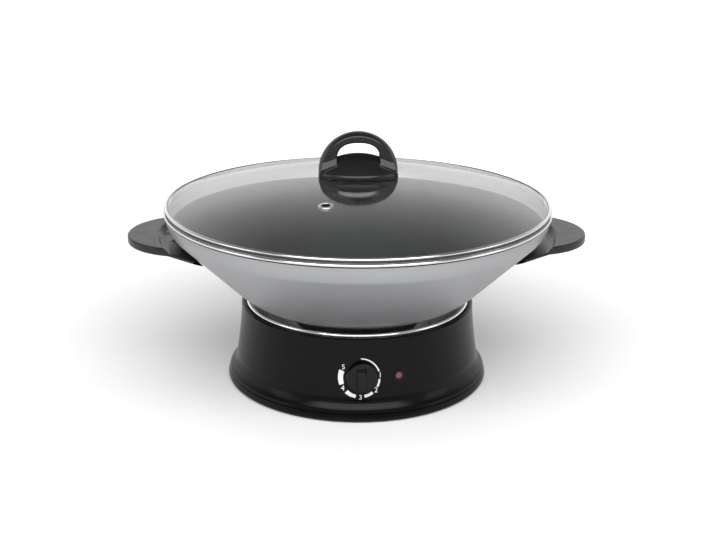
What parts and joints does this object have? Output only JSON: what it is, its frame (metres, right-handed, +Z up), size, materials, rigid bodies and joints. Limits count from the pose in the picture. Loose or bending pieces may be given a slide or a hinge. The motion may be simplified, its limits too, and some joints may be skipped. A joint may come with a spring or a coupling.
{
  "type": "electric wok",
  "caption": "Table-top electric wok: round heated base with dial and pilot lamp, lift-off bowl with two side handles, loose domed glass lid with knob.",
  "frame": {"origin": "centre of the base on the table, under the rubber feet", "axes": "+Z up, -Y the front with the dial, +X to the right seen from the front"},
  "size_m": [0.429, 0.36, 0.235],
  "materials": {
    "black_shell": "satin",
    "dark_sheet": "satin",
    "foot_rubber": "matte",
    "zinc_screw": "satin",
    "polished_steel": "polished",
    "bright_sheet": "bright",
    "cast_aluminium": "cast",
    "element_steel": "dull",
    "copper": "satin",
    "ceramic": "matte",
    "black_phenolic": "satin",
    "red_lens": "clear",
    "lamp_glass": "clear",
    "brown_wire": "satin",
    "blue_wire": "satin",
    "red_wire": "satin",
    "green_wire": "satin",
    "bowl_enamel": "satin",
    "brass_insert": "satin",
    "clear_glass": "clear",
    "silicone": "matte"
  },
  "bodies": {
    "base": {"base_shell": "black_shell", "bottom_plate": "dark_sheet", "rubber_feet": "foot_rubber", "bottom_screws": "zinc_screw", "trim_ring": "polished_steel", "ring_screws": "zinc_screw", "reflector_dish": "bright_sheet", "heating_plate": "cast_aluminium", "heating_element": "element_steel", "plate_spacers": "zinc_screw", "plate_screws": "zinc_screw", "sensor_bulb": "copper", "bulb_clips": "bright_sheet", "capillary_tube": "copper", "thermal_fuse": "ceramic", "fuse_clip": "bright_sheet", "thermostat_body": "ceramic", "thermostat_nut": "zinc_screw", "pilot_lens": "red_lens", "pilot_lamp": "lamp_glass", "terminal_block": "ceramic", "cord_gland": "foot_rubber", "cord_clamp": "ceramic", "clamp_screws": "zinc_screw", "live_wire": "brown_wire", "neutral_wire": "blue_wire", "heater_wire": "red_wire", "earth_wire": "green_wire", "earth_screw": "zinc_screw"},
    "dial": {"thermostat_shaft": "zinc_screw", "dial_knob": "black_phenolic", "knob_clip": "bright_sheet"},
    "wok": {"wok_bowl": "bowl_enamel", "left_handle": "black_phenolic", "right_handle": "black_phenolic", "handle_inserts": "brass_insert", "handle_screws": "zinc_screw"},
    "lid": {"lid_glass": "clear_glass", "lid_band": "polished_steel", "vent_eyelet": "polished_steel", "lid_knob": "black_phenolic", "knob_washer": "silicone", "lid_backing_plate": "bright_sheet", "knob_insert": "brass_insert", "knob_screw": "zinc_screw"}
  },
  "joints": [
    {"name": "dial_turn", "type": "hinge", "parent": "base", "child": "dial", "pos_m": [0, -0.1127, 0.0399], "axis": [0, 1, 0], "range_deg": [0, 305]},
    {"name": "wok_lift", "type": "slide", "parent": "base", "child": "wok", "axis": [0, 0, 1], "range_m": [0, 0.12]},
    {"name": "lid_lift", "type": "slide", "parent": "wok", "child": "lid", "axis": [0, 0, 1], "range_m": [0, 0.12]}
  ]
}
